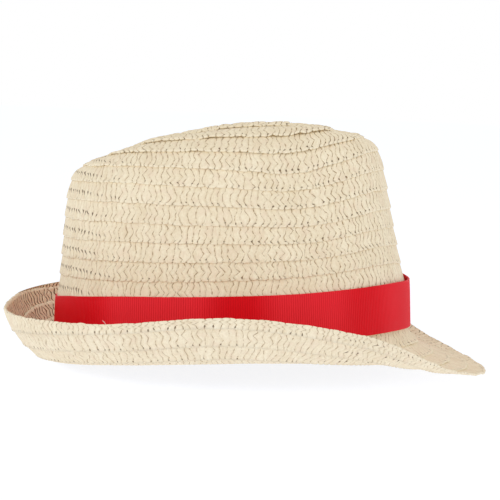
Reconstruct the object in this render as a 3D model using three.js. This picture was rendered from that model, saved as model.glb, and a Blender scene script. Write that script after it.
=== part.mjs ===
// A trilby sun hat sewn from one long flat plait of paper straw, with a plain red grosgrain ribbon round the crown.
// The brim is turned up at the back and sides and snapped down at the front. Millimetres, +Z up, the front to +X,
// the hat standing as it rests by itself and the origin in the middle under it.
import * as THREE from "three";

// Crown, over the straw. The foot is the fold where it meets the brim, the ridge its highest edge all round.
const CROWN_LENGTH = 197;
const CROWN_WIDTH = 165;
const CROWN_HEIGHT = 112;
const EGG_SHAPE = 0.06;
const TOP_DENT_DEPTH = 24;
const FRONT_PINCH_DEPTH = 7;
const RIDGE_ROUNDING = 10;

// Height of the foot at the sides over the tip of the front brim, before the hat is laid down
const FOOT_LIFT = 30;

// Brim from the foot to the rim, along the straw
const BRIM_WIDTH = 50;

// Straw plait. Each row laps over the outside of the row below it by a small step.
const STRAW_WALL = 2;
const PLAIT_PITCH = 10.4;
const LAP_STEP = 0.9;

// Ribbon. Its ends lap on the far side, and it stands off the crown a little at the top of the front.
const RIBBON_WIDTH = 25;
const RIBBON_THICKNESS = 1;
const RIBBON_END_LAP = 16;
const RIBBON_FRONT_SLACK = 2.6;

// Fit between the pieces, and how the hat settles on its front tip and its back fold
const CLEARANCE = 0.3;
const REST_TILT = THREE.MathUtils.degToRad(2.3);
const PRESSED_FLAT = 2.1;

const SECTORS = 64;
const PROFILE_STEPS = 160;
const BRIM_STEPS = 60;

// Up the crown's wall. Rise is a share of the height at that place, the rest are shares of the foot's half sizes.
const CROWN_SECTIONS = [
  { name: "foot", rise: 0.0, front: 1.0, side: 1.0, back: 1.0 },
  { name: "ribbon", rise: 0.25, front: 0.975, side: 0.965, back: 0.988 },
  { name: "waist", rise: 0.45, front: 0.93, side: 0.93, back: 0.967 },
  { name: "shoulder", rise: 0.7, front: 0.882, side: 0.875, back: 0.944 },
  { name: "bend", rise: 0.82, front: 0.858, side: 0.815, back: 0.93 },
  { name: "crest", rise: 0.91, front: 0.84, side: 0.725, back: 0.914 },
  { name: "lip", rise: 0.965, front: 0.806, side: 0.62, back: 0.89 },
  { name: "ridge", rise: 1.0, front: 0.772, side: 0.52, back: 0.87 },
];

// Round one half of the hat at even steps. Foot and ridge are shares of the foot's lift and the crown's height.
// Reach and lift set the rim out from the foot and over it, drop is how far the brim first follows the crown's
// wall down, all as shares of the brim's width. Rim is the brim's slope there in degrees over level.
const PLACES = [
  { name: "front", foot: 0.917, ridge: 0.94, reach: 0.89, lift: -0.51, drop: 0.22, rim: -14 },
  { name: "front corner", foot: 0.983, ridge: 0.95, reach: 0.75, lift: -0.34, drop: 0.25, rim: 7 },
  { name: "front side", foot: 0.997, ridge: 0.99, reach: 0.79, lift: 0.16, drop: 0.32, rim: 51 },
  { name: "side", foot: 0.99, ridge: 0.988, reach: 0.72, lift: 0.38, drop: 0.33, rim: 60 },
  { name: "back side", foot: 0.933, ridge: 0.931, reach: 0.72, lift: 0.32, drop: 0.33, rim: 63 },
  { name: "back corner", foot: 0.783, ridge: 0.88, reach: 0.68, lift: 0.38, drop: 0.35, rim: 74 },
  { name: "back", foot: 0.623, ridge: 0.875, reach: 0.53, lift: 0.48, drop: 0.38, rim: 78 },
];
const RIM_STIFFNESS = 0.36;

// The pinch in each side of the front: how far round from the front, and how far up
const PINCH = { turn: THREE.MathUtils.degToRad(66), spread: THREE.MathUtils.degToRad(24), rise: 0.8, reach: 0.24 };

const mix = THREE.MathUtils.lerp;
const bell = (value, middle, spread) => Math.exp(-(((value - middle) / spread) ** 2));
const turnOf = (sector) => (2 * Math.PI * sector) / SECTORS;
const fromFront = (turn) => Math.acos(Math.cos(turn));
const sectors = [...Array(SECTORS).keys()];

// One column of the crown's sections, read between its rows.
function sectionShare(rise, column) {
  const next = Math.max(1, CROWN_SECTIONS.findIndex((row) => row.rise >= rise));
  const [low, high] = [CROWN_SECTIONS[next - 1], CROWN_SECTIONS[next]];
  return mix(low[column], high[column], (rise - low.rise) / (high.rise - low.rise));
}

// One column of the places round the hat, as a smooth curve through its rows that is the same on both sides.
function placeShare(turn, column) {
  const last = PLACES.length - 1;
  const place = (fromFront(turn) / Math.PI) * last;
  const low = Math.min(Math.floor(place), last - 1);
  const mirrored = (i) => PLACES[last - Math.abs(last - Math.abs(i))][column];
  const [before, from, to, after] = [-1, 0, 1, 2].map((step) => mirrored(low + step));
  const t = place - low;
  const bend = (2 * before - 5 * from + 4 * to - after) * t * t + (3 * from - before - 3 * to + after) * t ** 3;
  return from + ((to - before) * t + bend) / 2;
}

const footLift = (turn) => FOOT_LIFT * placeShare(turn, "foot");
const crownHeight = (turn) => CROWN_HEIGHT * placeShare(turn, "ridge");

// The crown's wall, from rise 0 at the foot to 1 at the ridge, with the pinch on each side of the front.
function wallPoint(turn, rise) {
  const [ahead, across] = [Math.cos(turn), Math.sin(turn)];
  const halfLength = (CROWN_LENGTH / 2) * sectionShare(rise, ahead > 0 ? "front" : "back");
  const halfWidth = (CROWN_WIDTH / 2) * sectionShare(rise, "side") * (1 - EGG_SHAPE * ahead);
  const pinch = FRONT_PINCH_DEPTH * bell(fromFront(turn), PINCH.turn, PINCH.spread) * bell(rise, PINCH.rise, PINCH.reach);
  const height = footLift(turn) + crownHeight(turn) * rise;
  return new THREE.Vector3((halfLength - pinch) * ahead, (halfWidth - pinch) * across, height);
}

// The crown's top, from inward 0 at the ridge to 1 at the middle of the long dent.
function topPoint(turn, inward) {
  const ridge = wallPoint(turn, 1);
  const [front, side, back] = [0, Math.PI / 2, Math.PI].map((place) => wallPoint(place, 1));
  const x = mix(ridge.x, 0, inward);
  const along = (x - back.x) / (front.x - back.x);
  const endToEnd = mix(back.z, front.z, along);
  const sink = TOP_DENT_DEPTH - (side.z - mix(back.z, front.z, 0.5));
  const floor = endToEnd - sink * Math.sin(Math.PI * along);
  return new THREE.Vector3(x, mix(ridge.y, 0, inward), mix(ridge.z, floor, THREE.MathUtils.smoothstep(inward, 0, 0.6)));
}

// The same polyline with its points evenly spaced.
function evenly(points, steps) {
  const travelled = [0];
  points.slice(1).forEach((point, i) => travelled.push(travelled[i] + point.distanceTo(points[i])));
  const whole = travelled[travelled.length - 1];
  let at = 0;
  return Array.from({ length: steps + 1 }, (_, i) => {
    const wanted = (whole * i) / steps;
    while (at < points.length - 2 && travelled[at + 1] < wanted) at += 1;
    return points[at].clone().lerp(points[at + 1], (wanted - travelled[at]) / (travelled[at + 1] - travelled[at]));
  });
}

const pathLength = (path) => path.slice(1).reduce((sum, point, i) => sum + point.distanceTo(path[i]), 0);

// One line over the crown from the foot to the middle of the top, its corners rounded.
function meridian(turn) {
  const shares = Array.from({ length: PROFILE_STEPS + 1 }, (_, i) => i / PROFILE_STEPS);
  const raw = [...shares.map((share) => wallPoint(turn, share)), ...shares.slice(1).map((share) => topPoint(turn, share))];
  const even = evenly(raw, PROFILE_STEPS);
  const reach = Math.round(((RIDGE_ROUNDING / 2) * PROFILE_STEPS) / pathLength(raw));
  const rounded = even.map((_, i) => {
    const span = Math.min(reach, i, PROFILE_STEPS - i);
    const near = even.slice(i - span, i + span + 1);
    return near.reduce((sum, point) => sum.add(point), new THREE.Vector3()).divideScalar(near.length);
  });
  return evenly(rounded, PROFILE_STEPS);
}

const meridians = sectors.map((sector) => meridian(turnOf(sector)));
const meridianLength = meridians.reduce((sum, path) => sum + pathLength(path), 0) / SECTORS;
const crownRows = Math.round(meridianLength / PLAIT_PITCH);
const brimRows = Math.round(BRIM_WIDTH / PLAIT_PITCH);

function alongMeridian(sector, share) {
  const path = meridians[(sector + SECTORS) % SECTORS];
  const place = Math.min(share, 1) * PROFILE_STEPS;
  const low = Math.min(Math.floor(place), PROFILE_STEPS - 1);
  return path[low].clone().lerp(path[low + 1], place - low);
}

// A point off the crown's smooth surface by a distance, outward where that is over 0.
function offCrown(sector, share, distance) {
  const small = 1 / PROFILE_STEPS;
  const round = alongMeridian(sector + 1, share).sub(alongMeridian(sector - 1, share));
  const up = alongMeridian(sector, Math.min(share + small, 1)).sub(alongMeridian(sector, Math.max(share - small, 0)));
  return alongMeridian(sector, share).addScaledVector(round.cross(up).normalize(), distance);
}

const crownLoop = (share, distance) => sectors.map((sector) => offCrown(sector, share, distance));
const crownMiddle = (distance) => [alongMeridian(0, 1).add(new THREE.Vector3(0, 0, distance))];

// Loops of points over the crown, from the middle of the top down the outside and up the inside again.
function crownLoops() {
  const outside = [crownMiddle(LAP_STEP / 2)];
  for (let row = crownRows - 1; row >= 0; row -= 1) {
    if (row < crownRows - 1) outside.push(crownLoop((row + 1) / crownRows, 0));
    outside.push(crownLoop(row / crownRows, LAP_STEP));
  }
  const inside = [];
  for (let row = 0; row < crownRows; row += row / crownRows < 0.4 || row / crownRows > 0.8 ? 2 : 1)
    inside.push(crownLoop(row / crownRows, -STRAW_WALL));
  return [...outside, ...inside, crownMiddle(-STRAW_WALL)];
}

// Evenly spaced points over the brim's upper face from the crown's foot to the rim. It leaves the foot down the line
// of the crown's wall and rolls over to the slope that it has at the rim.
function brimSection(sector) {
  const turn = turnOf(sector);
  const share = (column) => BRIM_WIDTH * placeShare(turn, column);
  const foot = alongMeridian(sector, 0);
  const round = alongMeridian(sector + 1, 0).sub(alongMeridian(sector - 1, 0));
  const outward = new THREE.Vector3(round.y, -round.x, 0).normalize();
  const off = (out, over) => foot.clone().addScaledVector(outward, out).setZ(foot.z + over);
  const wall = foot.clone().sub(alongMeridian(sector, 1 / PROFILE_STEPS)).normalize();
  const slope = THREE.MathUtils.degToRad(placeShare(turn, "rim"));
  const [reach, lift, stiff] = [share("reach"), share("lift"), BRIM_WIDTH * RIM_STIFFNESS];
  const roll = off(reach - stiff * Math.cos(slope), lift - stiff * Math.sin(slope));
  const drop = foot.clone().addScaledVector(wall, share("drop"));
  const curve = new THREE.CubicBezierCurve3(foot, drop, roll, off(reach, lift));
  return evenly(curve.getPoints(BRIM_STEPS), BRIM_STEPS);
}

// Loops of points round the brim: out along its upper face and back along its under face.
function brimLoops() {
  const sections = sectors.map(brimSection);
  const lineAt = (sector, at) => sections[(sector + SECTORS) % SECTORS][THREE.MathUtils.clamp(at, 0, BRIM_STEPS)];
  const loop = (along, distance) =>
    sectors.map((sector) => {
      const at = Math.round(along * BRIM_STEPS);
      const round = lineAt(sector + 1, at).clone().sub(lineAt(sector - 1, at));
      const inward = lineAt(sector, at - 1).clone().sub(lineAt(sector, at + 1));
      return lineAt(sector, at).clone().addScaledVector(round.cross(inward).normalize(), distance);
    });
  const lowered = (points) => points.map((point) => point.setZ(point.z - CLEARANCE));
  const faces = [LAP_STEP, LAP_STEP - STRAW_WALL].map((distance) => {
    const loops = [];
    for (let row = 0; row < brimRows; row += 1)
      for (const share of [0, 1 / 3, 2 / 3, 1])
        if (row > 0 || share > 0) loops.push(loop((row + share) / brimRows, distance - LAP_STEP * (1 - share)));
    return loops;
  });
  const [upperFoot, underFoot] = [0, -STRAW_WALL].map((distance) => lowered(crownLoop(0, distance)));
  return [upperFoot, ...faces[0], ...faces[1].reverse(), underFoot];
}

// Loops of points round the ribbon: down its outside and up its inside.
function ribbonLoops() {
  const lapHalf = Math.round(((RIBBON_END_LAP / 2) * SECTORS) / (Math.PI * ((CROWN_LENGTH + CROWN_WIDTH) / 2)));
  const lapped = (sector) => Math.abs(sector - SECTORS / 4) <= lapHalf;
  const loop = (height, outside) =>
    sectors.map((sector) => {
      const front = Math.max(0, Math.cos(turnOf(sector))) ** 3;
      const seat = LAP_STEP + CLEARANCE + (RIBBON_FRONT_SLACK * front * height) / RIBBON_WIDTH;
      const thickness = RIBBON_THICKNESS * (lapped(sector) ? 2 : 1);
      return offCrown(sector, height / meridianLength, seat + (outside ? thickness : 0));
    });
  const [low, high] = [CLEARANCE, CLEARANCE + RIBBON_WIDTH];
  const middle = (low + high) / 2;
  return [loop(high, true), loop(middle, true), loop(low, true), loop(low, false), loop(middle, false), loop(high, false)];
}

// A closed mesh over loops of points. A loop of one point is a pole, and a ring of loops joins its last to its first.
function meshOver(loops, material, name) {
  const positions = loops.flat().flatMap((point) => point.toArray());
  const starts = [];
  loops.reduce((start, loop) => (starts.push(start), start + loop.length), 0);
  const faces = [];
  const ring = loops[0].length > 1;
  for (let i = 0; i < loops.length - (ring ? 0 : 1); i += 1) {
    const [one, other] = [i, (i + 1) % loops.length];
    for (const sector of sectors) {
      const next = (sector + 1) % SECTORS;
      const corner = (loop, at) => starts[loop] + (loops[loop].length > 1 ? at : 0);
      if (loops[other].length > 1) faces.push(corner(one, sector), corner(other, sector), corner(other, next));
      if (loops[one].length > 1) faces.push(corner(one, sector), corner(other, next), corner(one, next));
    }
  }
  const geometry = new THREE.BufferGeometry();
  geometry.setAttribute("position", new THREE.Float32BufferAttribute(positions, 3));
  geometry.setIndex(faces);
  geometry.computeVertexNormals();
  const mesh = new THREE.Mesh(geometry, material);
  mesh.name = name;
  return mesh;
}

// Lays the hat down on its front tip and its back fold: tilts it and moves its middle over the origin.
function layDown(pieces) {
  const points = pieces.flat(2);
  points.forEach((point) => point.applyAxisAngle(new THREE.Vector3(0, 1, 0), -REST_TILT));
  const box = new THREE.Box3().setFromPoints(points);
  const shift = new THREE.Vector3(-(box.min.x + box.max.x) / 2, 0, -box.min.z - PRESSED_FLAT);
  points.forEach((point) => point.add(shift));
}

// Presses the brim flat where it stands: no straw of its under face below the floor, its upper face a wall higher.
function pressFlat(loops) {
  const floorOf = (i) => (i < loops.length / 2 ? STRAW_WALL : 0);
  loops.forEach((loop, i) => loop.forEach((point) => point.setZ(Math.max(point.z, floorOf(i)))));
}

const straw = new THREE.MeshStandardMaterial({ color: 0xe7d7ba, roughness: 0.8, metalness: 0 });
const grosgrain = new THREE.MeshStandardMaterial({ color: 0xca0b1b, roughness: 0.55, metalness: 0 });

const crown = crownLoops();
const brim = brimLoops();
const ribbon = ribbonLoops();
layDown([crown, brim, ribbon]);
pressFlat(brim);

const hat = new THREE.Group();
hat.add(meshOver(crown, straw, "crown"));
hat.add(meshOver(brim, straw, "brim"));
hat.add(meshOver(ribbon, grosgrain, "ribbon_band"));

export default hat;
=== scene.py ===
"""A trilby sewn from one long flat plait of paper straw, with a red grosgrain ribbon, on a pale floor.

The hat's form is one smooth surface, given by named sizes and short tables of shares. The plait winds over it
as a strip that laps over the row below, the ribbon goes round its foot, and a camera looks at its right side.
"""

import logging
import math
from dataclasses import dataclass, field
from enum import Enum
from typing import Any, Sequence

import bmesh
import bpy
import numpy as np
from mathutils import Matrix, Vector


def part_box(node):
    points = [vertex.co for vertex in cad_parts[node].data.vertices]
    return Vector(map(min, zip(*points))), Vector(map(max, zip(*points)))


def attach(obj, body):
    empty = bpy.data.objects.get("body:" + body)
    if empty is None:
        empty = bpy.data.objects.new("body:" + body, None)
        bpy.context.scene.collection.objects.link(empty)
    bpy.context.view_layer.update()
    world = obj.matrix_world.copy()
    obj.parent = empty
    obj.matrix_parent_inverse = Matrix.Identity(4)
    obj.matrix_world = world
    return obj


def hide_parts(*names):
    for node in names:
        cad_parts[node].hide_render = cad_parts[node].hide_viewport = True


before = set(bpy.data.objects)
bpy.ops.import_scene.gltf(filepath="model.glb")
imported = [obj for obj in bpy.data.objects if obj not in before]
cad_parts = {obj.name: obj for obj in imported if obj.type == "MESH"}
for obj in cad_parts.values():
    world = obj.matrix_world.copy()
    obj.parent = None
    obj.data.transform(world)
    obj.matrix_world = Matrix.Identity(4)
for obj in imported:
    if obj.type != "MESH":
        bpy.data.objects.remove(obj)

LOG = logging.getLogger("straw_trilby")
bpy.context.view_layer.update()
MM = 0.001
SEED = 57
PLAIT_PITCH = 10.4
STRAW_WIDTH = 3.35
TACK_TURN = math.radians(241.6)
TACK_ENDS = ((-2.4, 2.6), (1.7, 1.2))
FLUFF_TURN = math.radians(288.5)
FLUFF_ENDS = ((0.7, 0.9),)


# The form of the hat


def from_front(turn: np.ndarray | float) -> np.ndarray:
    """How far an angle round the hat is from the front, the same on both sides."""
    return np.arccos(np.clip(np.cos(turn), -1, 1))


@dataclass(frozen=True)
class CrownSection:
    """One level of the crown's wall.

    Rise is a share of its height, the rest are shares of the foot's half sizes.
    """

    rise: float
    front: float
    side: float
    back: float


@dataclass(frozen=True)
class Place:
    """One place round the hat: shares of the foot's lift, crown's height and brim's width, and a slope.

    The slope is the rim's, in degrees. The last four are how far the plait's rows lie over their even places,
    in rows: high up the crown's wall, half way, low down and one row in from the rim.
    """

    foot: float
    ridge: float
    reach: float
    lift: float
    drop: float
    rim: float
    high: float
    half: float
    low: float
    brim: float


@dataclass
class HatForm:
    """The smooth surface under the plait, from the middle of the top down over the foot and out to the rim.

    Rows count up from 0 at the foot to the middle of the top and down to the rim. Lengths are in millimetres.
    The places run from the middle of the front to the middle of the back, evenly spaced.
    """

    crown_length: float = 197
    crown_width: float = 165
    crown_height: float = 112
    egg_shape: float = 0.06
    top_dent_depth: float = 24
    dent_side: float = 0.6
    front_pinch_depth: float = 7
    ridge_rounding: float = 10
    foot_lift: float = 30
    brim_width: float = 50
    plait_pitch: float = PLAIT_PITCH
    rest_tilt: float = math.radians(2.3)
    rim_stiffness: float = 0.36
    pinch_turn: float = math.radians(66)
    pinch_spread: float = math.radians(24)
    pinch_rise: float = 0.8
    pinch_reach: float = 0.24
    lap_over_crest: float = 0.4
    drift_rows: tuple[float, ...] = (0, 3, 6, 9, 13)
    brim_marks: tuple[float, ...] = (0, 1, 2, 3, 5)
    brim_drift: tuple[float, ...] = (0.0, 1.0, 0.6, 0.3, 0.0)
    sectors: int = 256
    steps: int = 160
    brim_steps: int = 60
    per_row: int = 20
    sections: tuple[CrownSection, ...] = (
        CrownSection(0.0, 1.0, 1.0, 1.0),
        CrownSection(0.25, 0.975, 0.965, 0.988),
        CrownSection(0.45, 0.93, 0.93, 0.967),
        CrownSection(0.7, 0.882, 0.875, 0.944),
        CrownSection(0.82, 0.858, 0.815, 0.93),
        CrownSection(0.91, 0.84, 0.725, 0.914),
        CrownSection(0.965, 0.806, 0.62, 0.89),
        CrownSection(1.0, 0.772, 0.52, 0.87),
    )
    places: tuple[Place, ...] = (
        Place(0.917, 0.94, 0.89, -0.51, 0.22, -14, 0.13, 0.15, 0.28, 0.0),
        Place(0.983, 0.95, 0.75, -0.34, 0.31, 7, 0.0, 0.06, 0.42, -0.2),
        Place(0.997, 0.99, 0.79, 0.16, 0.385, 51, -0.42, -0.24, 0.26, -0.5),
        Place(0.99, 0.988, 0.72, 0.38, 0.385, 60, -0.17, -0.06, 0.2, -0.7),
        Place(0.933, 0.931, 0.72, 0.32, 0.39, 63, 0.05, 0.08, 0.17, -0.7),
        Place(0.783, 0.88, 0.68, 0.38, 0.42, 74, 0.22, 0.26, 0.36, -0.2),
        Place(0.623, 0.875, 0.53, 0.48, 0.4, 78, 0.38, 0.6, 0.62, 0.4),
    )
    crown_rows: int = field(init=False)
    brim_rows: int = field(init=False)
    points: np.ndarray = field(init=False)
    normals: np.ndarray = field(init=False)

    def __post_init__(self) -> None:
        """Builds the table of points and outward directions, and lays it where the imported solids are."""
        turns = np.arange(self.sectors) * 2 * math.pi / self.sectors
        paths = np.stack([self._meridian(turn) for turn in turns])
        lengths = np.linalg.norm(np.diff(paths, axis=1), axis=2).sum(axis=1)
        self.crown_rows = round(float(lengths.mean()) / self.plait_pitch)
        self.brim_rows = round(self.brim_width / self.plait_pitch)
        crown = self._resample_all(paths, self.crown_rows * self.per_row)
        brim = self._brim(paths, turns)
        self.points = self._laid_down(np.concatenate([brim[:, :0:-1], crown], axis=1))
        self.normals = self._outward(self.points)

    def _place_share(self, turn: np.ndarray, column: str) -> np.ndarray:
        """Reads one column of the places as a smooth curve that is the same on both sides.

        Args:
            turn: Angles round the hat from the front.
            column: The name of a field of Place.

        Returns:
            The share at each angle.
        """
        rows = np.array([getattr(place, column) for place in self.places])
        last = len(rows) - 1
        place = from_front(turn) / math.pi * last
        low = np.minimum(np.floor(place), last - 1).astype(int)
        before, start, end, after = (rows[last - np.abs(last - np.abs(low + step))] for step in (-1, 0, 1, 2))
        t = place - low
        bend = (2 * before - 5 * start + 4 * end - after) * t**2
        bend += (3 * start - before - 3 * end + after) * t**3
        return start + ((end - before) * t + bend) / 2

    def _section_share(self, rise: np.ndarray, column: str) -> np.ndarray:
        """Reads one column of the crown's sections between its rows."""
        return np.interp(rise, [s.rise for s in self.sections], [getattr(s, column) for s in self.sections])

    def _wall(self, turn: float, rise: np.ndarray) -> np.ndarray:
        """Points up the crown's wall at one angle.

        Args:
            turn: The angle from the front.
            rise: Shares of the height, 0 at the foot and 1 at the ridge.

        Returns:
            One point a share.
        """
        ahead, across = math.cos(turn), math.sin(turn)
        half_length = self.crown_length / 2 * self._section_share(rise, "front" if ahead > 0 else "back")
        half_width = self.crown_width / 2 * self._section_share(rise, "side") * (1 - self.egg_shape * ahead)
        round_bell = math.exp(-(((from_front(turn) - self.pinch_turn) / self.pinch_spread) ** 2))
        rise_bell = np.exp(-(((rise - self.pinch_rise) / self.pinch_reach) ** 2))
        pinch = self.front_pinch_depth * round_bell * rise_bell
        lift = self.foot_lift * float(self._place_share(np.array(turn), "foot"))
        height = self.crown_height * float(self._place_share(np.array(turn), "ridge"))
        x, y = (half_length - pinch) * ahead, (half_width - pinch) * across
        return np.stack([x, y, lift + height * rise], axis=1)

    def _top(self, turn: float, inward: np.ndarray) -> np.ndarray:
        """Points over the crown's top at one angle, from the ridge in to the middle of the long dent.

        Args:
            turn: The angle from the front.
            inward: Shares of the way in.

        Returns:
            One point a share.
        """
        one = np.ones(1)
        ridge = self._wall(turn, one)[0]
        front, side, back = (self._wall(place, one)[0] for place in (0.0, math.pi / 2, math.pi))
        x = ridge[0] * (1 - inward)
        along = (x - back[0]) / (front[0] - back[0])
        sink = self.top_dent_depth - (side[2] - (back[2] + front[2]) / 2)
        floor = back[2] + (front[2] - back[2]) * along - sink * np.sin(math.pi * along)
        ease = np.clip(inward / self.dent_side, 0, 1)
        ease = ease * ease * (3 - 2 * ease)
        return np.stack([x, ridge[1] * (1 - inward), ridge[2] + (floor - ridge[2]) * ease], axis=1)

    @staticmethod
    def _resample(path: np.ndarray, steps: int) -> np.ndarray:
        """Spaces the points of a polyline evenly.

        Args:
            path: Its points.
            steps: How many steps it gets.

        Returns:
            The new points.
        """
        travelled = np.concatenate([[0], np.cumsum(np.linalg.norm(np.diff(path, axis=0), axis=1))])
        wanted = np.linspace(0, travelled[-1], steps + 1)
        return np.stack([np.interp(wanted, travelled, path[:, axis]) for axis in range(3)], axis=1)

    def _resample_all(self, paths: np.ndarray, steps: int) -> np.ndarray:
        """Every polyline with its points evenly spaced."""
        return np.stack([self._resample(path, steps) for path in paths])

    def _meridian(self, turn: float) -> np.ndarray:
        """One line over the crown from the foot to the middle of the top, its corners rounded.

        Args:
            turn: The angle from the front.

        Returns:
            Its points, evenly spaced.
        """
        shares = np.linspace(0, 1, self.steps + 1)
        raw = np.concatenate([self._wall(turn, shares), self._top(turn, shares[1:])])
        even = self._resample(raw, self.steps)
        length = np.linalg.norm(np.diff(raw, axis=0), axis=1).sum()
        reach = round(self.ridge_rounding / 2 * self.steps / length)
        last = self.steps
        spans = [min(reach, i, last - i) for i in range(last + 1)]
        rounded = np.stack([even[i - span : i + span + 1].mean(axis=0) for i, span in enumerate(spans)])
        return self._resample(rounded, last)

    def _brim(self, paths: np.ndarray, turns: np.ndarray) -> np.ndarray:
        """Evenly spaced points over the brim from the crown's foot to the rim at every angle.

        Args:
            paths: The lines over the crown.
            turns: Their angles from the front.

        Returns:
            An array of angle by step by axis.
        """
        foot = paths[:, 0]
        round_foot = np.roll(foot, -1, axis=0) - np.roll(foot, 1, axis=0)
        outward = np.stack([round_foot[:, 1], -round_foot[:, 0], np.zeros(len(foot))], axis=1)
        outward /= np.linalg.norm(outward, axis=1, keepdims=True)
        wall = foot - paths[:, 1]
        wall /= np.linalg.norm(wall, axis=1, keepdims=True)
        names = ("reach", "lift", "drop")
        reach, lift, drop = (self.brim_width * self._place_share(turns, name) for name in names)
        slope = np.radians(self._place_share(turns, "rim"))
        stiff = self.brim_width * self.rim_stiffness
        up = np.array([0.0, 0.0, 1.0])
        rim = foot + outward * reach[:, None] + up * lift[:, None]
        roll = rim - outward * (stiff * np.cos(slope))[:, None] - up * (stiff * np.sin(slope))[:, None]
        lead = foot + wall * drop[:, None]
        t = np.linspace(0, 1, self.brim_steps + 1)[None, :, None]
        curve = (
            foot[:, None] * (1 - t) ** 3
            + lead[:, None] * 3 * t * (1 - t) ** 2
            + roll[:, None] * 3 * t**2 * (1 - t)
            + rim[:, None] * t**3
        )
        return self._resample_all(curve, self.brim_rows * self.per_row)

    def _laid_down(self, points: np.ndarray) -> np.ndarray:
        """Tilts the form as the hat rests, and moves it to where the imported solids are.

        Args:
            points: The table of points as the hat was drawn.

        Returns:
            The table in the shared frame.
        """
        c, s = math.cos(self.rest_tilt), math.sin(self.rest_tilt)
        x, z = points[..., 0] * c - points[..., 2] * s, points[..., 0] * s + points[..., 2] * c
        laid = np.stack([x, points[..., 1], z], axis=-1)
        low, high = (np.array(corner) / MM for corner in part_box("brim"))
        rim = laid[:, : self.per_row]
        middle = (rim[..., 0].min() + rim[..., 0].max()) / 2
        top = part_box("crown")[1][2] / MM
        crest = laid[..., 2].max() + self.lap_over_crest
        laid[..., 0] += (low[0] + high[0]) / 2 - middle
        laid[..., 2] += top - crest
        return laid

    @staticmethod
    def _outward(points: np.ndarray) -> np.ndarray:
        """Unit directions off the surface, out of the crown and up from the brim.

        Args:
            points: The table of points.

        Returns:
            The table of directions.
        """
        around = np.roll(points, -1, axis=0) - np.roll(points, 1, axis=0)
        upward = np.gradient(points, axis=1)
        around[:, -1] = around[:, -2]
        cross = np.cross(around, upward)
        return cross / np.maximum(np.linalg.norm(cross, axis=2, keepdims=True), 1e-9)

    def drifted(self, turn: np.ndarray, row: np.ndarray) -> np.ndarray:
        """Where the plait's rows really lie: a little over or under their even places.

        Args:
            turn: Angles round the hat from the front.
            row: Even rows over the foot.

        Returns:
            The rows after the drift.
        """
        marks = self.drift_rows
        from_rim = row + self.brim_rows
        drift = np.interp(from_rim, self.brim_marks, self.brim_drift) * self._place_share(turn, "brim")
        for column, before, mark, after in zip(("low", "half", "high"), marks, marks[1:], marks[2:]):
            drift += np.interp(row, (before, mark, after), (0.0, 1.0, 0.0)) * self._place_share(turn, column)
        return row + drift

    def at(self, turn: np.ndarray, row: np.ndarray) -> tuple[np.ndarray, np.ndarray]:
        """Reads the surface between the points of its table.

        Args:
            turn: Angles round the hat from the front.
            row: Rows over the foot, below 0 on the brim.

        Returns:
            The points and the outward directions.
        """
        a = np.mod(turn / (2 * math.pi), 1) * self.sectors
        b = np.clip((row + self.brim_rows) * self.per_row, 0, self.points.shape[1] - 1.001)
        a0, b0 = np.floor(a).astype(int) % self.sectors, np.floor(b).astype(int)
        a1, b1 = (a0 + 1) % self.sectors, b0 + 1
        fa, fb = (a - np.floor(a))[..., None], (b - b0)[..., None]

        def read(table: np.ndarray) -> np.ndarray:
            """Weighs the four points of the table round each place."""
            start = table[a0, b0] * (1 - fa) + table[a1, b0] * fa
            end = table[a0, b1] * (1 - fa) + table[a1, b1] * fa
            return start * (1 - fb) + end * fb

        return read(self.points), read(self.normals)


# Materials


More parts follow.
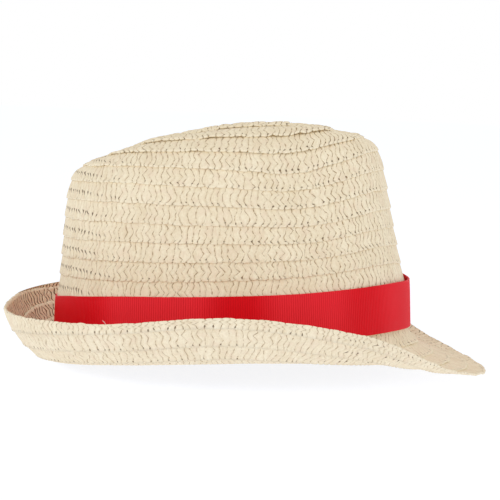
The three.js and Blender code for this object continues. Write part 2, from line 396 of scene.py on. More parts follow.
class Socket:
    """A shader socket or a number that can be used in Python expressions. Each operation adds its node."""

    def __init__(self, tree: bpy.types.NodeTree, value: Any) -> None:
        """Wraps a node's output, a number or a tuple."""
        self.tree, self.value = tree, value

    def node(
        self, kind: str, settings: dict[str, Any] | None = None, output: int | str = 0, **inputs: Any
    ) -> "Socket":
        """Adds any node.

        Args:
            kind: The node's type.
            settings: What is set on the node first, such as its operation.
            output: Which of its outputs is wanted.
            inputs: Values or links for its sockets, by name with _ for a space, or i and a number.

        Returns:
            The output, wrapped.
        """
        made = self.tree.nodes.new(kind)
        for name, value in (settings or {}).items():
            setattr(made, name, value)
        for name, value in inputs.items():
            key = int(name[1:]) if name[0] == "i" and name[1:].isdigit() else name.replace("_", " ")
            value = value.value if isinstance(value, Socket) else value
            if isinstance(value, bpy.types.NodeSocket):
                self.tree.links.new(value, made.inputs[key])
            else:
                made.inputs[key].default_value = value
        return Socket(self.tree, made.outputs[output])

    def math(self, operation: str, *others: Any) -> "Socket":
        """One Math node on this value and the others."""
        inputs = {f"i{i}": value for i, value in enumerate((self, *others))}
        return self.node("ShaderNodeMath", {"operation": operation}, **inputs)

    def __add__(self, other: Any) -> "Socket":
        """Adds."""
        return self.math("ADD", other)

    __radd__ = __add__

    def __mul__(self, other: Any) -> "Socket":
        """Multiplies."""
        return self.math("MULTIPLY", other)

    __rmul__ = __mul__

    def __sub__(self, other: Any) -> "Socket":
        """Takes away."""
        return self.math("SUBTRACT", other)

    def __rsub__(self, other: Any) -> "Socket":
        """Is taken away from a number."""
        return Socket(self.tree, other).math("SUBTRACT", self)

    def parts_of(self, attribute: str) -> list["Socket"]:
        """Reads a vector attribute of the mesh.

        Args:
            attribute: Its name.

        Returns:
            Its three parts.
        """
        vector = self.node("ShaderNodeAttribute", {"attribute_name": attribute}, "Vector")
        parts = vector.node("ShaderNodeSeparateXYZ", Vector=vector).value.node
        return [Socket(self.tree, output) for output in parts.outputs]

    def cloud(self, scale: float, detail: float, roughness: float = 0.6) -> "Socket":
        """Soft noise at the place that this vector gives."""
        look = {"Scale": scale, "Detail": detail, "Roughness": roughness}
        return self.node("ShaderNodeTexNoise", None, "Fac", Vector=self, **look)

    def noise(self, scale: float, detail: float, **place: Any) -> "Socket":
        """Soft noise at a place given by its X, Y and Z."""
        return self.node("ShaderNodeCombineXYZ", **place).cloud(scale, detail)

    def drawn(self) -> "Socket":
        """A number from 0 to 1 drawn anew for each value of this one."""
        return self.node("ShaderNodeTexWhiteNoise", {"noise_dimensions": "1D"}, "Value", W=self)

    def relief(self, strength: float, distance: float) -> "Socket":
        """A bump with this height, its distance in metres."""
        return self.node("ShaderNodeBump", None, "Normal", Strength=strength, Distance=distance, Height=self)

    def ramp(self, low: float, high: float) -> "Socket":
        """0 below low, 1 above high and a smooth rise between."""
        settings = {"interpolation_type": "SMOOTHSTEP", "clamp": True}
        return self.node("ShaderNodeMapRange", settings, Value=self, From_Min=low, From_Max=high)

    def between(self, dark: Any, light: Any) -> "Socket":
        """A colour from dark at 0 to light at 1 of this value."""
        settings = {"data_type": "RGBA", "clamp_factor": True}
        return self.node("ShaderNodeMix", settings, 2, i0=self, i6=dark, i7=light)


Colour = tuple[float, float, float, float]


def srgb(red: int, green: int, blue: int) -> Colour:
    """Works out a colour from screen values of 0 to 255.

    Args:
        red: Its red.
        green: Its green.
        blue: Its blue.

    Returns:
        The same colour in linear light.
    """
    shares = (red / 255, green / 255, blue / 255)
    linear = [c / 12.92 if c <= 0.04045 else ((c + 0.055) / 1.055) ** 2.4 for c in shares]
    return (linear[0], linear[1], linear[2], 1.0)


@dataclass(frozen=True)
class Finish:
    """A finish with a principled shader that its own class dresses."""

    name: str
    roughness: float

    def material(self) -> bpy.types.Material:
        """Makes the material.

        Returns:
            The material, with its nodes.
        """
        made = bpy.data.materials.new(self.name)
        made.use_nodes = True
        tree = made.node_tree
        shader = tree.nodes["Principled BSDF"]
        shader.inputs["Roughness"].default_value = self.roughness
        self.dress(Socket(tree, 0.0), shader)
        return made

    def dress(self, start: Socket, shader: bpy.types.Node) -> None:
        """Links the colour and relief to the shader. Each finish has its own."""
        raise NotImplementedError

    @staticmethod
    def link(socket: Socket, shader: bpy.types.Node, name: str) -> None:
        """Links a value to one of the shader's sockets."""
        socket.tree.links.new(socket.value, shader.inputs[name])


@dataclass(frozen=True)
class PaperStraw(Finish):
    """Twisted paper straw: cream, a little uneven, with thin broken gaps and small holes between the straws.

    It reads how far along the plait a point is, counted in straws, how far across it, and the straw's tint.
    """

    name: str = "paper_straw"
    roughness: float = 0.72
    pale: Colour = srgb(250, 238, 210)
    warm: Colour = srgb(230, 212, 178)
    gap: Colour = srgb(174, 146, 108)
    ash: Colour = srgb(236, 214, 186)
    pore: Colour = srgb(104, 78, 50)
    shadow: Colour = srgb(128, 88, 58)
    straw_width: float = STRAW_WIDTH
    row_width: float = PLAIT_PITCH

    def dress(self, start: Socket, shader: bpy.types.Node) -> None:
        """Colour by straw, gap and hole, with painted shade in the gaps and a painted highlight on the rows'
        lower edges, and fine fibres along each straw.

        Args:
            start: Any socket of the tree.
            shader: The principled shader.
        """
        along, across, strand = start.parts_of("weave")
        holes, painted_gap_shade, pore_place = start.parts_of("openness_and_shade")
        place = start.node("ShaderNodeTexCoord", None, "Object")
        nearest = along.math("ROUND")
        off = (along - nearest).math("ABSOLUTE") * self.straw_width
        fade = start.noise(2.0, 1.0, X=nearest * 3.7, Y=across * 2.6, Z=0.5)
        waver = start.noise(1.0, 2.0, X=along * 0.6, Y=across * 9.0, Z=2.5)
        width = fade.ramp(0.3, 0.7) * 0.08 + waver.ramp(0.3, 0.7) * 0.07
        # Painted shade: where the gaps' painted shade runs deep, gaps widen and darken toward the shadow
        # colour.
        shaded = painted_gap_shade.ramp(1.35, 1.85)
        # Painted highlight: a pale line along each row's lower edge, wider and paler where the painted shade
        # is deep.
        edge = (1 - (across - shaded * 0.1).ramp(0.03, 0.1)) * (0.6 + shaded * 0.3)
        drawn = fade.ramp(0.28, 0.6) * waver.ramp(0.28, 0.54) + shaded * 0.4
        line = (1 - (off - width - shaded * 0.2).ramp(0.0, 0.26)) * drawn * painted_gap_shade * (1 - edge * shaded)
        draw = nearest.drawn()
        shift = (nearest + 0.37).drawn()
        large = (pore_place - 0.13).math("MINIMUM", 0.3) - pore_place.ramp(0.6, 0.9) * 0.27
        rise = (across - pore_place - shift * 0.05) * self.row_width
        slant = (along - nearest) * self.straw_width + rise * large * 2.2
        reach = (slant * slant + rise * rise * (0.5 - large * 1.1)).math("SQRT")
        rim = (reach - 0.1 - draw * 0.22 - large * 0.4).ramp(0.0, 0.36)
        hole = (1 - rim) * (holes - draw * 0.9).ramp(0.0, 0.12)
        mottle = place.cloud(60.0, 3.0)
        speck = place.cloud(760.0, 2.0, 0.7)
        fibre = start.noise(1.0, 2.0, X=along * 5.0, Y=across * 1.4, Z=strand * 40)
        grain = fibre.ramp(0.35, 0.68) * 0.35 + speck.ramp(0.32, 0.68) * 0.4
        tone = strand * 0.35 + mottle.ramp(0.3, 0.72) * 0.25 + grain - 0.12
        patch = place.cloud(210.0, 2.0, 0.5)
        straw = (patch.ramp(0.45, 0.75) * 0.5).between(tone.between(self.warm, self.pale), self.ash)
        # Painted shade: the gaps' colour goes from gap to shadow where the painted shade is deep.
        shade = shaded.between(self.gap, self.shadow)
        # The painted highlight on the rows' lower edges mixes toward the pale straw colour.
        gapped = (line * 0.88).between(edge.between(straw, self.pale), shade)
        self.link((hole * 0.85).between(gapped, self.pore), shader, "Base Color")
        self.link(0.62 + fibre * 0.22, shader, "Roughness")
        height = fibre * 0.7 + speck * 0.25 - line - hole * 2.0
        self.link(height.relief(0.5, 0.00025), shader, "Normal")


@dataclass(frozen=True)
class Grosgrain(Finish):
    """Red grosgrain with upright ribs, with a painted highlight on their crests.

    Painted sheen lies in broad bands along the ribbon: at each place, in millimetres, the painted sheen
    changes by the step.
    """

    name: str = "red_grosgrain"
    roughness: float = 0.5
    deep: Colour = srgb(208, 0, 14)
    bright: Colour = srgb(236, 4, 26)
    sheen: Colour = srgb(252, 66, 78)
    painted_sheen_blend: float = 10.0
    painted_sheen_turns: tuple[tuple[float, float], ...] = (
        (40, 0.7),
        (95, -0.7),
        (218, 1.0),
        (276, -0.95),
        (305, 0.95),
        (350, -0.7),
        (378, 0.5),
        (470, -0.8),
        (530, 0.6),
    )

    def dress(self, start: Socket, shader: bpy.types.Node) -> None:
        """Colour by rib, with a painted highlight on the crests and painted sheen in bands, and the crossing
        threads as a fine relief.

        Args:
            start: Any socket of the tree.
            shader: The principled shader.
        """
        along, across, crest = start.parts_of("weave")
        thread = start.noise(1.0, 2.0, X=along * 0.9, Y=across * 3.2, Z=0.0)
        band = start.noise(1.0, 1.0, X=along * 0.045, Y=across * 0.02, Z=3.0)
        steps = [along.ramp(at - self.painted_sheen_blend, at + self.painted_sheen_blend) * step for at, step in self.painted_sheen_turns]
        # Painted highlight: the rib crests are painted brighter; threads and broad noise vary the red at
        # random.
        tone = crest * 0.5 + thread.ramp(0.3, 0.7) * 0.2 + band.ramp(0.35, 0.65) * 0.2 - 0.1
        # Painted sheen: bands along the ribbon, strongest on the rib crests, mix toward the sheen colour.
        shine = sum(steps) * (crest * 0.4 + 0.12)
        self.link(shine.between(tone.between(self.deep, self.bright), self.sheen), shader, "Base Color")
        self.link(0.42 + thread * 0.16, shader, "Roughness")
        shader.inputs["Specular IOR Level"].default_value = 0.1
        shader.inputs["Sheen Weight"].default_value = 0.05
        shader.inputs["Sheen Roughness"].default_value = 0.4
        shader.inputs["Sheen Tint"].default_value = self.bright
        self.link(thread.relief(0.3, 0.00015), shader, "Normal")


@dataclass(frozen=True)
class Cotton(Finish):
    """Sewing thread in one shade with a fine twist."""

    name: str = "thread_pink"
    roughness: float = 0.8
    shade: Colour = srgb(240, 214, 206)
    dark: Colour = srgb(205, 160, 150)

    def dress(self, start: Socket, shader: bpy.types.Node) -> None:
        """Colour with a fine twist.

        Args:
            start: Any socket of the tree.
            shader: The principled shader.
        """
        place = start.node("ShaderNodeTexCoord", None, "Object")
        twist = place.cloud(2600.0, 1.0, 0.5)
        self.link(twist.ramp(0.3, 0.7).between(self.dark, self.shade), shader, "Base Color")


@dataclass(frozen=True)
class PaleFloor(Finish):
    """A plain white floor that glows a little, so that shadows on it stay faint."""

    name: str = "pale_floor"
    roughness: float = 0.9
    white: Colour = (0.3, 0.31, 0.36, 1.0)
    light: Colour = (0.93, 0.955, 1.0, 1.0)
    glow: float = 0.83

    def dress(self, start: Socket, shader: bpy.types.Node) -> None:
        """One even white.

        Args:
            start: Any socket of the tree.
            shader: The principled shader.
        """
        shader.inputs["Base Color"].default_value = self.white
        shader.inputs["Emission Color"].default_value = self.light
        shader.inputs["Emission Strength"].default_value = self.glow
        shader.inputs["Specular IOR Level"].default_value = 0.0


# Pieces


def placed(name: str, data: bpy.types.ID) -> bpy.types.Object:
    """Makes an object of a mesh, lamp or camera in the scene."""
    made = bpy.data.objects.new(name, data)
    bpy.context.scene.collection.objects.link(made)
    return made


def mesh_of(shape: bmesh.types.BMesh, name: str) -> bpy.types.Mesh:
    """Turns a finished shape into a mesh."""
    mesh = bpy.data.meshes.new(name)
    shape.to_mesh(mesh)
    shape.free()
    return mesh


def finished_piece(
    name: str, mesh: bpy.types.Mesh, material: bpy.types.Material
) -> bpy.types.Object:
    """Makes a mesh an object that rides on the hat.

    Args:
        name: The piece's name.
        mesh: Its mesh, in place.
        material: Its material.

    Returns:
        The object.
    """
    mesh.materials.clear()
    mesh.materials.append(material)
    for polygon in mesh.polygons:
        polygon.use_smooth = True
    piece = placed(name, mesh)
    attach(piece, "root")
    LOG.info("%s: %d faces", name, len(mesh.polygons))
    return piece


@dataclass
class Sheet:
    """A long strip of cloth or plait as a closed shell over a grid of so many cells along and across."""

    along: int
    across: int

    def build(self) -> tuple[bpy.types.Mesh, np.ndarray, np.ndarray, np.ndarray]:
        """Makes the grid and gives it a second side.

        Returns:
            The mesh, each vertex's place along and across, and 1 for the outer side or 0 for the inner.
        """
        shell = bmesh.new()
        bmesh.ops.create_grid(shell, x_segments=self.along, y_segments=self.across, size=0.5)
        outer = bmesh.ops.extrude_face_region(shell, geom=shell.faces[:], use_keep_orig=True)["geom"]
        raised = [part for part in outer if isinstance(part, bmesh.types.BMVert)]
        bmesh.ops.translate(shell, verts=raised, vec=Vector((0, 0, 1)))
        bmesh.ops.recalc_face_normals(shell, faces=shell.faces[:])
        mesh = mesh_of(shell, "sheet")
        flat = np.empty(len(mesh.vertices) * 3, dtype=np.float32)
        mesh.vertices.foreach_get("co", flat)
        flat = flat.reshape(-1, 3)
        i = np.rint((flat[:, 0] + 0.5) * self.along).astype(int)
        j = np.rint((flat[:, 1] + 0.5) * self.across).astype(int)
        return mesh, i, j, (flat[:, 2] > 0.5).astype(float)

    @staticmethod
    def place(mesh: bpy.types.Mesh, points: np.ndarray, **kept: np.ndarray) -> None:
        """Moves the vertices to their places and keeps what the material reads.

        Args:
            mesh: The sheet's mesh.
            points: Places in metres.
            kept: Three values a vertex, by the attribute's name.
        """
        mesh.vertices.foreach_set("co", points.astype(np.float32).ravel())
        for name, values in kept.items():
            attribute = mesh.attributes.new(name, "FLOAT_VECTOR", "POINT")
            attribute.data.foreach_set("vector", values.astype(np.float32).ravel())
        mesh.update()


class Bend(Enum):
    """How a gap between two straws runs across the plait: its swing at each place, the lower edge first."""

    ZIGZAG = (0.3, 0.5, 0.95, 0.0, -0.9, 0.0, 0.9, 0.1, -0.2)
    HOOK = (0.9, 0.7, -0.2, -0.8, -0.7, 0.0, 0.6, 0.8, 0.6)
    BOW = (-0.7, -0.5, 0.3, 0.9, 1.0, 0.8, 0.2, -0.6, -0.8)
    LEAN = (-0.5, -0.4, -0.6, 0.3, 0.4, 0.1, 0.8, 0.7, 0.6)


@dataclass
class StrawPlait:
    """The flat plait: a strip of zigzag straws that winds down over the hat, each turn over the one below.

    Lengths are in millimetres and widths across the plait in rows.
    """

    form: HatForm
    straw_width: float = STRAW_WIDTH
    narrowest: float = 2.4
    widest: float = 4.4
    uneven_width: float = 0.13
    thickness: float = 0.95
    lap_step: float = 0.8
    ridge_row: float = 11.0
    ridge_span: float = 1.5
    ridge_lift: float = 0.7
    crown_tuck: float = 0.25
    brim_tuck: float = 0.5
    bend_shares: tuple[float, ...] = (0.62, 0.2, 0.1, 0.08)
    new_bend: float = 0.3
    new_side: float = 0.2
    zigzag: float = 1.15
    stray: float = 0.24
    groove_depth: float = 0.28
    brim_ribbing: float = 1.1
    dome: float = 0.16
    scallop: float = 0.07
    edge_dip: float = 0.22
    uneven_edge: float = 0.02
    uneven_lift: float = 0.22
    shift_start: float = math.radians(110)
    shift_span: float = math.radians(60)
    across: tuple[float, ...] = (0.0, 0.05, 0.18, 0.34, 0.5, 0.66, 0.83, 1.0, 1.16)
    over: tuple[float, ...] = (0.0, 0.14, 0.5, 0.86)
    crown_top_rows: float = 9.0
    few_holes: float = 0.3
    more_holes: float = 0.75
    holes_turn: float = math.radians(53)
    holes_spread: float = math.radians(39)
    behind_turn: float = math.radians(125)
    behind_blend: float = math.radians(25)

    def lower_edge(self, wound: np.ndarray) -> np.ndarray:
        """The row that the strip's lower edge follows. It drops by one in each turn, on the far side.

        Args:
            wound: Angle wound since the middle of the top.

        Returns:
            Rows over the foot.
        """
        turn = wound / (2 * math.pi)
        ease = np.clip(((turn % 1) * 2 * math.pi - (2 * math.pi - self.shift_span)) / self.shift_span, 0, 1)
        return self.form.crown_rows - 1 - np.floor(turn) - ease * ease * (3 - 2 * ease)

    def _starts(self, rng: np.random.Generator) -> np.ndarray:
        """Finds where each straw starts, so that all are about equally wide along the plait's middle.

        Args:
            rng: Where the draws come from.

        Returns:
            Angles wound, one a straw.
        """
        turns = self.form.crown_rows + self.form.brim_rows
        wound = np.linspace(-self.shift_span, turns * 2 * math.pi, turns * 720 + 121)
        middle = np.maximum(self.lower_edge(wound) + 0.5, -self.form.brim_rows + 0.3)
        line, _ = self.form.at(wound + self.shift_start + self.shift_span, middle)
        travelled = np.concatenate([[0], np.cumsum(np.linalg.norm(np.diff(line, axis=0), axis=1))])
        plenty = int(travelled[-1] / self.straw_width * 1.1)
        widths = self.straw_width * (1 + self.uneven_width * rng.standard_normal(plenty))
        ends = np.concatenate([[0], np.cumsum(np.clip(widths, self.narrowest, self.widest))])
        return np.interp(ends[ends < travelled[-1]], travelled, wound)

    def _bends(self, count: int, rng: np.random.Generator) -> np.ndarray:
        """Draws the swing of each gap at each place across. A few gaps bend alike, then the next few differ.

        Args:
            count: How many gaps there are.
            rng: Where the draws come from.

        Returns:
            Swings by gap and place across.
        """
        kinds = np.array([bend.value for bend in Bend])
        group = np.cumsum(rng.random(count) < self.new_bend)
        kind = rng.choice(len(kinds), group[-1] + 1, p=self.bend_shares)[group]
        flip = np.cumsum(rng.random(count) < self.new_side) % 2 * 2 - 1
        size = flip * (0.65 + 0.6 * rng.random(count))
        return kinds[kind] * size[:, None] + self.stray * rng.standard_normal((count, len(self.across)))

    def pieces(self) -> dict[str, bpy.types.Mesh]:
        """Makes the plait's meshes: over the top, round the side and over the brim.

        Returns:
            The meshes by name.
        """
        rng = np.random.default_rng(SEED)
        starts = self._starts(rng)
        count = len(starts)
        drawn = {
            "bends": self._bends(count, rng),
            "tint": np.clip(rng.normal(0.5, 0.22, count), 0, 1),
            "depth": 0.6 + 0.7 * rng.random(count),
            "edge": self.uneven_edge * rng.standard_normal(count),
            "lift": self.uneven_lift * rng.standard_normal(count),
        }
        edge = self.lower_edge(starts)
        top = int(np.argmax(edge < self.form.crown_rows - self.crown_top_rows - 0.999))
        brim = int(np.argmax(edge < -0.5))
        return {
            "plait_crown_top": self._strip(starts, drawn, 0, top),
            "plait_crown_side": self._strip(starts, drawn, top, brim),
            "plait_brim": self._strip(starts, drawn, brim, count - 1),
        }

    def _strip(
        self, starts: np.ndarray, drawn: dict[str, np.ndarray], first: int, last: int
    ) -> bpy.types.Mesh:
        """One length of the plait, from one straw to another.

        Args:
            starts: The angle wound where each straw starts.
            drawn: Each straw's bends, tint and groove depth, and how far its lower end lies up and out.
            first: The first straw.
            last: The one after the last.

        Returns:
            The mesh, a closed shell.
        """
        per = len(self.over)
        mesh, i, j, outer = Sheet((last - first) * per, len(self.across) - 1).build()
        straw = first + i // per
        part = np.array(self.over)[i % per]
        after = np.minimum(straw + 1, len(starts) - 1)

        def between(table: np.ndarray, *column: np.ndarray) -> np.ndarray:
            """Reads a table of the straws between one straw and the next."""
            return table[(straw, *column)] * (1 - part) + table[(after, *column)] * part

        near_middle = np.clip((self.form.crown_rows - self.lower_edge(starts[straw])) / 4, 0.15, 1)
        sway = between(drawn["bends"], j) * self.zigzag / self.straw_width * near_middle
        wound = starts[straw] + (starts[after] - starts[straw]) * (part + sway)
        across = np.array(self.across)[j]
        low = self.lower_edge(wound)
        floor = np.maximum(low, -self.form.brim_rows)
        exposed = np.maximum(np.minimum(low + 1, self.form.crown_rows - 0.01) - floor, 0.02)
        groove = (i % per == 0).astype(float)
        depth = groove * drawn["depth"][straw]
        notch = self.scallop * depth * np.where(low < 0.5 - self.form.brim_rows, 0.15, 1.0)
        end = (between(drawn["edge"]) + notch) * (j <= 1)
        tucked = (np.clip(across - 1, 0, 1) - notch * (across > 1)) * np.clip(exposed, 0.2, 1)
        row = floor + (np.minimum(across, 1) + end) * exposed + tucked
        row = np.clip(row, -self.form.brim_rows, self.form.crown_rows - 0.01)
        turn = wound + self.shift_start + self.shift_span
        at, out = self.form.at(turn, self.form.drifted(turn, row))
        raised = 1 + self.ridge_lift * np.exp(-(((low - self.ridge_row) / self.ridge_span) ** 2))
        lap = (self.lap_step + between(drawn["lift"])) * raised * np.clip(1 - across, 0, 1)
        lap -= np.where(row < 0, self.brim_tuck, self.crown_tuck) * (across > 1)
        relief = self.dome * np.where(i % per == 2, 1.0, 0.4) * (1 - groove) - self.groove_depth * depth
        relief = np.where(j == 0, relief - self.edge_dip, relief)
        upper = 1 + self.brim_ribbing * self._behind(turn) * (row < 0)
        away = np.where(outer > 0.5, lap + relief * upper, lap - self.thickness - relief)
        points = at + out * away[:, None]
        points[:, 2] = np.maximum(points[:, 2], np.where(outer > 0.5, self.thickness, 0.0))
        weave = np.stack([straw + part, across, between(drawn["tint"])], axis=1)
        Sheet.place(mesh, points * MM, weave=weave, openness_and_shade=self._openness_and_shade(turn, row, outer))
        return mesh

    def _behind(self, turn: np.ndarray) -> np.ndarray:
        """0 at the front and sides and 1 at the back of the hat."""
        return np.clip((from_front(turn) - self.behind_turn) / self.behind_blend, 0, 1)

    def _openness_and_shade(self, turn: np.ndarray, row: np.ndarray, outer: np.ndarray) -> np.ndarray:
        """How open the plait is and its gaps' painted shade. Holes show in lines along the rows where it
        bends the most.

        Args:
            turn: Angles round the hat from the front.
            row: Rows over the foot.
            outer: 1 outside the crown and over the brim, 0 on the other side.

        Returns:
            Three values each: the share of gaps with a hole, how deep the gaps' painted shade is, and where
                across holes lie.
        """
        brim = (row < 0).astype(float)
        ahead = np.clip(np.cos(turn) * 2 - 0.6, 0, 1)
        behind = self._behind(turn)
        pinched = np.exp(-(((from_front(turn) - self.holes_turn) / self.holes_spread) ** 2))
        pinched *= np.clip((row - 3) / 3, 0, 1)
        most = np.maximum.reduce([pinched, behind * (1 - brim), brim * (0.13 + 0.57 * outer)])
        share = self.few_holes + self.more_holes * most
        # Painted shade in the gaps: deeper towards the front of the crown and lighter at its back; on the
        # brim's upper face deeper towards the back, lighter under the brim.
        dark = 1 + (0.38 * ahead - 0.55 * behind) * (1 - brim)
        dark += brim * ((0.15 + 0.85 * behind) * outer - 0.15 * (1 - outer))
        place = 0.13 + 0.3 * behind * (1 - brim) + 0.91 * brim * (1 - ahead)
        return np.stack([share, dark, place], axis=1)


@dataclass
class Ribbon:
    """The grosgrain ribbon round the foot of the crown, its ends lapped and sewn on the far side.

    Lengths are in millimetres.
    """

    form: HatForm
    width: float = 25.0
    foot_gap: float = 0.3
    thickness: float = 0.7
    seat: float = 1.25
    front_slack: float = 1.8
    end_lap: float = 16.0
    lap_rise: float = 6.0
    lap_gap: float = 0.15
    rib: float = 1.2
    rib_height: float = 0.2
    rib_profile: tuple[float, ...] = (0.0, 0.7, 1.0, 0.7)
    edge_rounding: float = 0.2
    bead_height: float = 0.12
    first_stitch: float = 2.2
    stitch_pitch: float = 2.9
    stitch_inset: float = 1.6
    lap_turn: float = math.radians(90)
    across: tuple[float, ...] = (0.0, 0.25, 0.7, 1.1, 6.5, 12.5, 18.5, 23.9, 24.3, 24.75, 25.0)
    wound: np.ndarray = field(init=False)
    travelled: np.ndarray = field(init=False)
    whole: float = field(init=False)

    def __post_init__(self) -> None:
        """Measures the way round the crown at the ribbon's middle, twice round so that the ends can lap."""
        once = np.linspace(0, 2 * math.pi, 721)
        middle = np.full_like(once, self.width / 2 / self.form.plait_pitch)
        line, _ = self.form.at(once + self.lap_turn, middle)
        travelled = np.concatenate([[0], np.cumsum(np.linalg.norm(np.diff(line, axis=0), axis=1))])
        self.wound = np.concatenate([once, once[1:] + 2 * math.pi])
        self.travelled = np.concatenate([travelled, travelled[1:] + travelled[-1]])
        self.whole = float(travelled[-1]) + self.end_lap

    def place(self, length: np.ndarray, up: np.ndarray, off: np.ndarray) -> np.ndarray:
        """Places on the ribbon.

        Args:
            length: How far along the ribbon.
            up: How far over its lower edge.
            off: How far off its inner face.

        Returns:
            Points in millimetres.
        """
        turn = np.interp(length, self.travelled, self.wound) + self.lap_turn
        at, out = self.form.at(turn, (self.foot_gap + up) / self.form.plait_pitch)
        slack = self.front_slack * np.maximum(np.cos(turn), 0) ** 3 * up / self.width
        rise_from = self.whole - self.end_lap - self.lap_rise
        lapped = np.clip((length - rise_from) / self.lap_rise, 0, 1) * (self.thickness + self.lap_gap)
        return at + out * (self.seat + slack + lapped + off)[:, None]

    def build(self) -> bpy.types.Mesh:
        """Makes the ribbon as one closed strip.

        Returns:
            The mesh.
        """
        per = len(self.rib_profile)
        mesh, i, j, outer = Sheet(int(self.whole / self.rib) * per, len(self.across) - 1).build()
        length = i / per * self.rib
        up = np.array(self.across)[j]
        crest = np.array(self.rib_profile)[i % per]
        last = len(self.across) - 1
        selvedge = (j <= 2) | (j >= last - 2)
        round_edge = np.where((j == 0) | (j == last), self.edge_rounding, 0.0)
        bead = np.where((j == 1) | (j == last - 1), self.bead_height, 0.0)
        ribbing = self.rib_height * crest * np.where(selvedge, 0.5, 1.0)
        off = np.where(outer > 0.5, self.thickness + ribbing + bead - round_edge, round_edge * 0.5)
        Sheet.place(mesh, self.place(length, up, off) * MM, weave=np.stack([length, up, crest], axis=1))
        return mesh

    def stitches(self) -> list[list[Vector]]:
        """The small stitches that hold the lapped end.

        Returns:
            The places that each stitch runs through, in metres.
        """
        sewn = []
        for up in np.arange(self.first_stitch, self.width - 1, self.stitch_pitch):
            length = self.whole - self.stitch_inset + np.array([-0.9, -0.8, 0.0, 0.8, 0.9])
            off = self.thickness + np.array([0.0, 0.25, 0.32, 0.25, 0.0])
            points = self.place(length, np.full(5, up) + np.array([0.0, 0.0, 0.1, 0.2, 0.2]), off)
            sewn.append([Vector(point) for point in points * MM])
        return sewn


@dataclass
class Thread:
    """Short lengths of sewing thread as thin bent tubes. Metres."""

    runs: Sequence[Sequence[Vector]]
    radius: float = 0.00016
    sides: int = 6

    def build(self) -> bpy.types.Mesh:
        """Makes each tube by pushing a ring of points along the thread.

        Returns:
            One mesh, each tube closed at both ends.
        """
        tubes = bmesh.new()
        for run in self.runs:
            facing = (run[1] - run[0]).to_track_quat("Z", "Y").to_matrix().to_4x4()
            ring = bmesh.ops.create_circle(
                tubes,
                cap_ends=True,
                segments=self.sides,
                radius=self.radius,
                matrix=Matrix.Translation(run[0]) @ facing,
            )["verts"]
            faces = ring[0].link_faces[:]
            for before, here in zip(run, run[1:]):
                pushed = bmesh.ops.extrude_face_region(tubes, geom=faces)["geom"]
                if before is not run[0]:
                    bmesh.ops.delete(tubes, geom=faces, context="FACES_ONLY")
                ring = [part for part in pushed if isinstance(part, bmesh.types.BMVert)]
                faces = [part for part in pushed if isinstance(part, bmesh.types.BMFace)]
                bmesh.ops.translate(tubes, verts=ring, vec=here - before)
        bmesh.ops.recalc_face_normals(tubes, faces=tubes.faces[:])
        return mesh_of(tubes, "thread")

    @staticmethod
    def loose_ends(form: HatForm, turn: float, ends: Sequence[tuple[float, float]]) -> list[list[Vector]]:
        """Ends of thread that stand up from the brim's rim at one place.

        Args:
            form: The hat's form.
            turn: The angle of the place from the front.
            ends: How far each end goes along the rim and up, in millimetres.

        Returns:
            The places that each end runs through, in metres.
        """
        at, out = (found[0] for found in form.at(np.array([turn]), np.array([0.12 - form.brim_rows])))
        along = Vector((-math.sin(turn), math.cos(turn), 0))
        start = Vector(at) + Vector(out) * 0.5
        shares = ((0, 0), (0.2, 0.45), (0.55, 0.8), (1, 1))
        runs = []
        for reach, rise in ends:
            bends = [along * reach * far + Vector((0, 0, rise * high)) for far, high in shares]
            runs.append([(start + bend) * MM for bend in bends])
        return runs


# The studio


@dataclass(frozen=True)
class Lamp:
    """One soft square light, its size in metres and its power in watts."""

    name: str
    place: tuple[float, float, float]
    aim: tuple[float, float, float]
    size: float
    power: float

    def hang(self) -> None:
        """Adds the light to the scene, out of the camera's sight."""
        data = bpy.data.lights.new(self.name, "AREA")
        data.shape, data.size, data.energy = "SQUARE", self.size, self.power
        lamp = placed(self.name, data)
        lamp.visible_camera = False
        lamp.location = self.place
        lamp.rotation_mode = "QUATERNION"
        lamp.rotation_quaternion = (Vector(self.aim) - Vector(self.place)).to_track_quat("-Z", "Y")


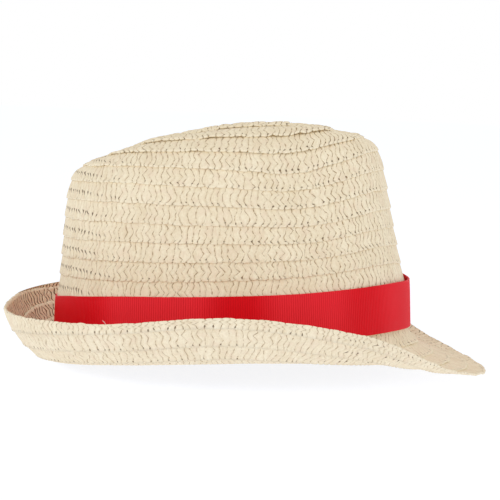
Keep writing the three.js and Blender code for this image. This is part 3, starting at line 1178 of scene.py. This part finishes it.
@dataclass
class Studio:
    """The pale floor, the soft light and the camera. Metres."""

    camera_place: tuple[float, float, float] = (-0.0008, -0.8383, 0.1523)
    pitch: float = math.radians(6.127)
    roll: float = math.radians(2.322)
    lens: float = 107.845
    floor_half: float = 8.0
    overhead: float = 0.66
    near_side: float = 0.84
    lamps: tuple[Lamp, ...] = (
        Lamp("key", place=(-0.7, -1.3, 1.3), aim=(0, 0, 0.08), size=1.0, power=5.5),
        Lamp("front", place=(1.1, -0.3, 1.6), aim=(0.12, 0, 0.05), size=0.8, power=2.4),
    )

    def floor(self) -> None:
        """Makes the floor."""
        plane = bmesh.new()
        bmesh.ops.create_grid(plane, x_segments=1, y_segments=1, size=self.floor_half)
        mesh = mesh_of(plane, "floor")
        mesh.materials.append(PaleFloor().material())
        placed("floor", mesh)

    def camera(self) -> None:
        """Makes the camera. It looks down a little and leans as the photograph does."""
        data = bpy.data.cameras.new("camera")
        data.lens, data.sensor_width = self.lens, 36.0
        data.clip_start, data.clip_end = 0.05, 50.0
        camera = placed("camera", data)
        ahead = Vector((0, math.cos(self.pitch), -math.sin(self.pitch)))
        turned = ahead.to_track_quat("-Z", "Y").to_matrix().to_4x4()
        lean = Matrix.Rotation(self.roll, 4, "Z")
        camera.matrix_world = Matrix.Translation(self.camera_place) @ turned @ lean
        bpy.context.scene.camera = camera

    def light(self) -> None:
        """Sets the white surround, dimmer overhead and on the camera's side, and the soft lights."""
        world = bpy.data.worlds.new("studio")
        world.use_nodes = True
        sky = Socket(world.node_tree, 0.0)
        up = sky.node("ShaderNodeTexCoord", None, "Generated")
        height = up.node("ShaderNodeSeparateXYZ", None, "Z", Vector=up)
        depth = up.node("ShaderNodeSeparateXYZ", None, "Y", Vector=up)
        near = height.ramp(0.03, 0.2) * (1 - depth.ramp(-0.35, 0.0))
        around = near.between((1, 1, 1, 1), (self.near_side,) * 3 + (1,))
        shade = height.ramp(0.15, 0.75).between(around, (self.overhead,) * 3 + (1,))
        background = world.node_tree.nodes["Background"]
        world.node_tree.links.new(shade.value, background.inputs["Color"])
        background.inputs["Strength"].default_value = 1.0
        bpy.context.scene.world = world
        for lamp in self.lamps:
            lamp.hang()
        view = bpy.context.scene.view_settings
        view.view_transform = "Standard"
        view.look = "None"


def main() -> None:
    """Builds the hat piece by piece, then the floor, the light and the camera."""
    logging.basicConfig(level=logging.INFO, format="%(name)s: %(message)s")
    studio = Studio()
    studio.camera()
    form = HatForm()
    straw = PaperStraw().material()
    plait = StrawPlait(form).pieces()
    pieces = {name: finished_piece(name, mesh, straw) for name, mesh in plait.items()}
    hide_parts("crown")
    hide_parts("crown")
    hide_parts("brim")
    ribbon = Ribbon(form)
    band = finished_piece("ribbon", ribbon.build(), Grosgrain().material())
    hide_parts("ribbon_band")
    red = Cotton(name="thread_red", shade=srgb(214, 16, 34), dark=srgb(150, 4, 16)).material()
    finished_piece("ribbon_stitches", Thread(ribbon.stitches()).build(), red)
    tack = Thread.loose_ends(form, TACK_TURN, TACK_ENDS)
    finished_piece("thread_tack", Thread(tack).build(), Cotton().material())
    fluff = Thread.loose_ends(form, FLUFF_TURN, FLUFF_ENDS)
    finished_piece("thread_fluff", Thread(fluff).build(), red)
    studio.floor()
    studio.light()


if __name__ == "__main__":
    main()
